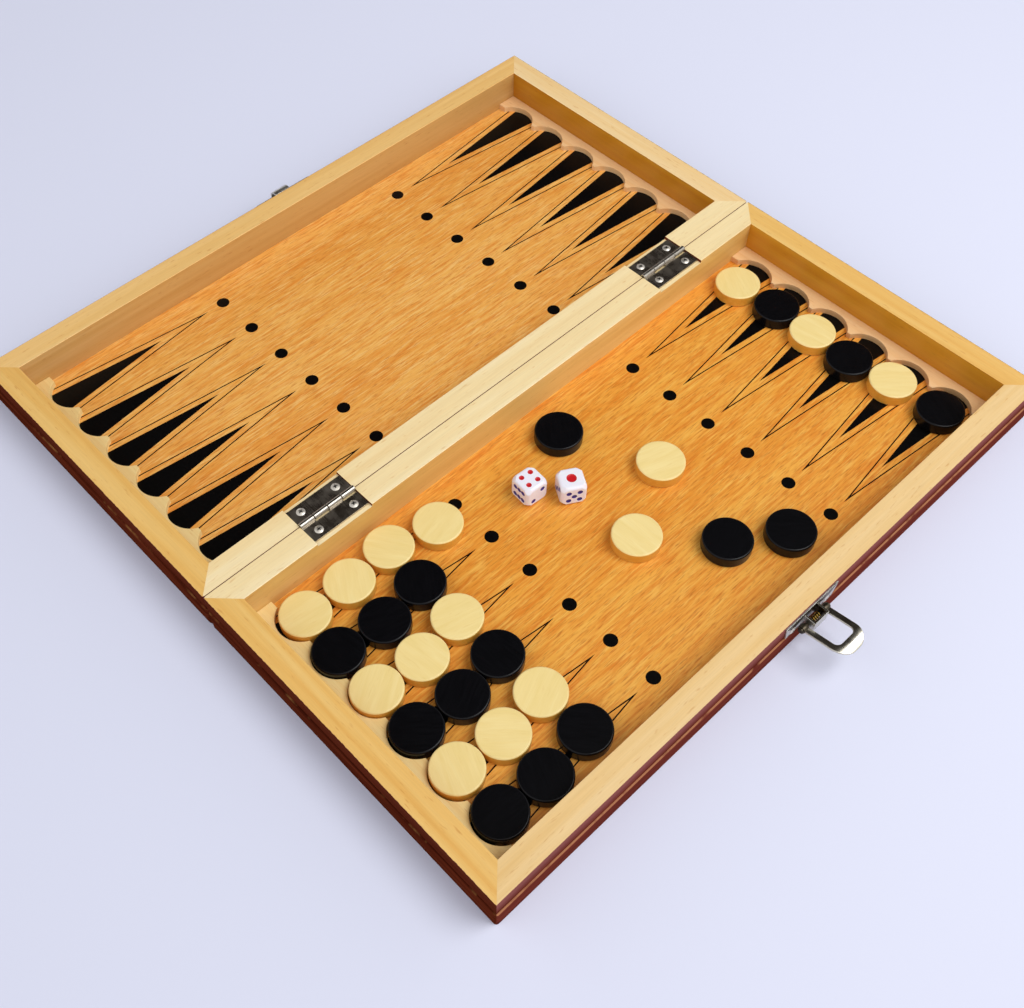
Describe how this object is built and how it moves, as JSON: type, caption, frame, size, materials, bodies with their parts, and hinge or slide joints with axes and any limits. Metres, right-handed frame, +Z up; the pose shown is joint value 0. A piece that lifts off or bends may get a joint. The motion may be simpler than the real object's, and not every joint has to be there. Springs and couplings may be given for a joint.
{
  "type": "folding games box",
  "caption": "Folding wooden games box shown open, with backgammon inside, a chess board underneath, butt hinges, a loop latch, checkers and dice.",
  "frame": {"origin": "centre of the underside of the near tray, the one with the latch ring", "axes": "+X from the fold towards the latch ring, +Y along the fold line, +Z up out of the open trays"},
  "size_m": [0.3155, 0.2912, 0.0201],
  "materials": {
    "pale_rail": "satin lacquered pale hardwood, dark stained outside",
    "outer_rail": "satin lacquered pale hardwood, dark stained outside",
    "end_rail": "satin lacquered pale hardwood, dark stained outside",
    "beech_panel": "satin lacquered beech plywood",
    "black_ink": "satin printed ink",
    "strip_wood": "satin lacquered pale wood",
    "pale_board": "satin lacquered plywood",
    "dark_square": "satin stained print",
    "nickel": "bright nickel plate",
    "spring_wire": "bright spring wire",
    "pale_checker": "gloss lacquered pale wood",
    "black_checker": "gloss black lacquered wood",
    "dice_plastic": "gloss white plastic with painted pips"
  },
  "bodies": {
    "near_tray": {"near_hinge_rail": "pale_rail", "near_latch_rail": "outer_rail", "near_left_rail": "end_rail", "near_right_rail": "end_rail", "near_playing_panel": "beech_panel", "near_printed_points": "black_ink", "near_left_scallop": "strip_wood", "near_right_scallop": "strip_wood", "near_chess_panel": "pale_board", "near_dark_squares": "dark_square", "left_hinge_near_leaf": "nickel", "right_hinge_near_leaf": "nickel", "left_hinge_pin": "nickel", "right_hinge_pin": "nickel", "near_hinge_screws": "nickel", "latch_plate": "nickel", "latch_pin": "nickel", "latch_spring": "spring_wire", "latch_screws": "nickel"},
    "far_tray": {"far_hinge_rail": "pale_rail", "far_strike_rail": "outer_rail", "far_left_rail": "end_rail", "far_right_rail": "end_rail", "far_playing_panel": "beech_panel", "far_printed_points": "black_ink", "far_left_scallop": "strip_wood", "far_right_scallop": "strip_wood", "far_chess_panel": "pale_board", "far_dark_squares": "dark_square", "left_hinge_far_leaf": "nickel", "right_hinge_far_leaf": "nickel", "far_hinge_screws": "nickel", "strike_plate": "nickel", "strike_screws": "nickel"},
    "latch_ring": {"latch_ring": "nickel"},
    "stack_1": {"stack_1": "pale_checker"},
    "stack_2": {"stack_2": "black_checker"},
    "stack_3": {"stack_3": "pale_checker"},
    "stack_4": {"stack_4": "black_checker"},
    "stack_5": {"stack_5": "pale_checker"},
    "stack_6": {"stack_6": "black_checker"},
    "checker_right_1": {"checker_right_1": "pale_checker"},
    "checker_right_2": {"checker_right_2": "black_checker"},
    "checker_right_3": {"checker_right_3": "pale_checker"},
    "checker_right_4": {"checker_right_4": "black_checker"},
    "checker_right_5": {"checker_right_5": "pale_checker"},
    "checker_right_6": {"checker_right_6": "black_checker"},
    "checker_loose_1": {"checker_loose_1": "black_checker"},
    "checker_loose_2": {"checker_loose_2": "pale_checker"},
    "checker_loose_3": {"checker_loose_3": "pale_checker"},
    "checker_loose_4": {"checker_loose_4": "black_checker"},
    "checker_loose_5": {"checker_loose_5": "black_checker"},
    "die_four": {"die_four": "dice_plastic"},
    "die_one": {"die_one": "dice_plastic"}
  },
  "joints": [
    {"name": "fold", "type": "hinge", "parent": "near_tray", "child": "far_tray", "pos_m": [-0.07258, 0, 0.01865], "axis": [0, 1, 0], "range_deg": [0, 180]},
    {"name": "latch_swing", "type": "hinge", "parent": "near_tray", "child": "latch_ring", "pos_m": [0.07502, 0.0035, 0.0124], "axis": [0, -1, 0], "range_deg": [-40, 80]},
    {"name": "stack_1_lift", "type": "slide", "parent": "near_tray", "child": "stack_1", "axis": [0, 0, 1], "range_m": [0, 0.016]},
    {"name": "stack_2_lift", "type": "slide", "parent": "near_tray", "child": "stack_2", "axis": [0, 0, 1], "range_m": [0, 0.016]},
    {"name": "stack_3_lift", "type": "slide", "parent": "near_tray", "child": "stack_3", "axis": [0, 0, 1], "range_m": [0, 0.016]},
    {"name": "stack_4_lift", "type": "slide", "parent": "near_tray", "child": "stack_4", "axis": [0, 0, 1], "range_m": [0, 0.016]},
    {"name": "stack_5_lift", "type": "slide", "parent": "near_tray", "child": "stack_5", "axis": [0, 0, 1], "range_m": [0, 0.016]},
    {"name": "stack_6_lift", "type": "slide", "parent": "near_tray", "child": "stack_6", "axis": [0, 0, 1], "range_m": [0, 0.016]},
    {"name": "checker_right_1_lift", "type": "slide", "parent": "near_tray", "child": "checker_right_1", "axis": [0, 0, 1], "range_m": [0, 0.016]},
    {"name": "checker_right_2_lift", "type": "slide", "parent": "near_tray", "child": "checker_right_2", "axis": [0, 0, 1], "range_m": [0, 0.016]},
    {"name": "checker_right_3_lift", "type": "slide", "parent": "near_tray", "child": "checker_right_3", "axis": [0, 0, 1], "range_m": [0, 0.016]},
    {"name": "checker_right_4_lift", "type": "slide", "parent": "near_tray", "child": "checker_right_4", "axis": [0, 0, 1], "range_m": [0, 0.016]},
    {"name": "checker_right_5_lift", "type": "slide", "parent": "near_tray", "child": "checker_right_5", "axis": [0, 0, 1], "range_m": [0, 0.016]},
    {"name": "checker_right_6_lift", "type": "slide", "parent": "near_tray", "child": "checker_right_6", "axis": [0, 0, 1], "range_m": [0, 0.016]},
    {"name": "checker_loose_1_lift", "type": "slide", "parent": "near_tray", "child": "checker_loose_1", "axis": [0, 0, 1], "range_m": [0, 0.016]},
    {"name": "checker_loose_2_lift", "type": "slide", "parent": "near_tray", "child": "checker_loose_2", "axis": [0, 0, 1], "range_m": [0, 0.016]},
    {"name": "checker_loose_3_lift", "type": "slide", "parent": "near_tray", "child": "checker_loose_3", "axis": [0, 0, 1], "range_m": [0, 0.016]},
    {"name": "checker_loose_4_lift", "type": "slide", "parent": "near_tray", "child": "checker_loose_4", "axis": [0, 0, 1], "range_m": [0, 0.016]},
    {"name": "checker_loose_5_lift", "type": "slide", "parent": "near_tray", "child": "checker_loose_5", "axis": [0, 0, 1], "range_m": [0, 0.016]},
    {"name": "die_four_lift", "type": "slide", "parent": "near_tray", "child": "die_four", "axis": [0, 0, 1], "range_m": [0, 0.016]},
    {"name": "die_one_lift", "type": "slide", "parent": "near_tray", "child": "die_one", "axis": [0, 0, 1], "range_m": [0, 0.016]}
  ]
}
